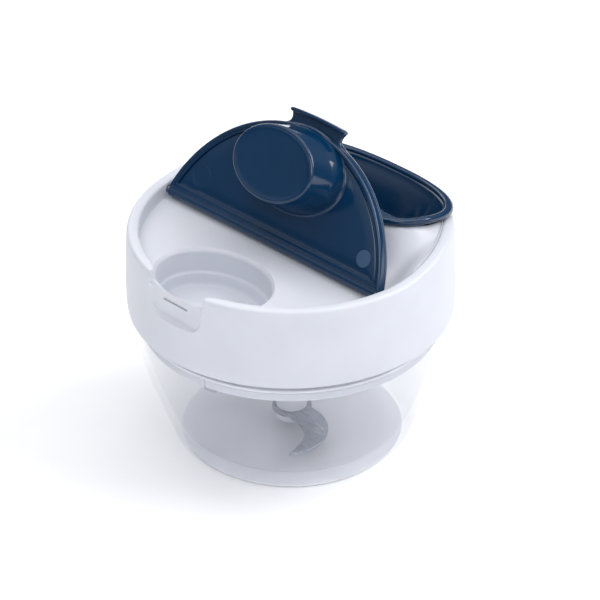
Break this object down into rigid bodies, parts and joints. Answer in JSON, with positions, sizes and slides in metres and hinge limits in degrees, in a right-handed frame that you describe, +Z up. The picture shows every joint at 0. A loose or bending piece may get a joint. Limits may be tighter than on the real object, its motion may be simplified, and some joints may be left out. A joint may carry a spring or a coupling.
{
  "type": "hand-pulled food processor",
  "caption": "Round hand-pulled food processor: clear bowl with a sickle blade set, white head with a half-moon flip lid over a feed well, and an oval cord-pull handle.",
  "frame": {"origin": "middle of the flat underside of the foot pad", "axes": "+Z up along the blade axle, -Y towards the feed well and lid catch, +Y towards the pull handle, the lid hinge lies along X"},
  "size_m": [0.1238, 0.1238, 0.1322],
  "materials": {
    "white_plastic": "fine satin moulded ABS",
    "navy_plastic": "polished injection-moulded ABS",
    "clear_plastic": "clear moulded SAN",
    "soft_rubber": "matt thermoplastic rubber",
    "grey_plastic": "plain moulded acetal",
    "steel": "ground stainless",
    "braided_cord": "braided polyester"
  },
  "bodies": {
    "bowl": {"bowl": "clear_plastic", "base_pad": "soft_rubber", "blade_pivot_pin": "steel"},
    "blades": {"blade_hub": "white_plastic", "blade_lower": "steel", "blade_upper": "steel", "blade_spacer": "white_plastic", "blade_lock_ring": "white_plastic"},
    "head": {"head_housing": "white_plastic", "head_bottom_cover": "white_plastic", "head_gasket": "soft_rubber", "cover_screw_1": "steel", "cover_screw_2": "steel", "cover_screw_3": "steel", "cover_screw_4": "steel", "cord_eyelet": "grey_plastic", "axle_pin": "steel", "recoil_spring": "steel", "pull_cord": "braided_cord"},
    "drive": {"drive_hub": "grey_plastic", "clutch_pawl_1": "steel", "clutch_pawl_2": "steel"},
    "reel": {"cord_reel": "grey_plastic", "wound_cord": "braided_cord", "spring_cover": "steel"},
    "handle": {"pull_handle": "navy_plastic", "handle_cord_end": "braided_cord"},
    "lid": {"lid_cover": "navy_plastic", "lid_liner": "navy_plastic", "hinge_pin_left": "steel", "hinge_pin_right": "steel"}
  },
  "joints": [
    {"name": "head_lift", "type": "slide", "parent": "bowl", "child": "head", "axis": [0, 0, 1], "range_m": [0, 0.07]},
    {"name": "lid_hinge", "type": "hinge", "parent": "head", "child": "lid", "pos_m": [0, -0.00965, 0.0872], "axis": [1, 0, 0], "range_deg": [0, 120.6]},
    {"name": "handle_pull", "type": "slide", "parent": "head", "child": "handle", "axis": [0, 0.309, 0.9511], "range_m": [0, 0.3], "stiffness_N_per_m": 12, "springref_m": -0.35},
    {"name": "reel_spin", "type": "hinge", "parent": "head", "child": "reel", "pos_m": [0, 0, 0.059], "axis": [0, 0, 1], "range_deg": [0, 720]},
    {"name": "drive_spin", "type": "hinge", "parent": "head", "child": "drive", "pos_m": [0, 0, 0.05], "axis": [0, 0, 1], "range_deg": [0, 720]},
    {"name": "blade_spin", "type": "hinge", "parent": "bowl", "child": "blades", "pos_m": [0, 0, 0.015], "axis": [0, 0, 1], "range_deg": [0, 720]}
  ],
  "couplings": [
    {"joint": "reel_spin", "follows": "handle_pull", "rad_per_m": 41.667},
    {"joint": "drive_spin", "follows": "handle_pull", "rad_per_m": 41.667},
    {"joint": "blade_spin", "follows": "handle_pull", "rad_per_m": 41.667}
  ]
}
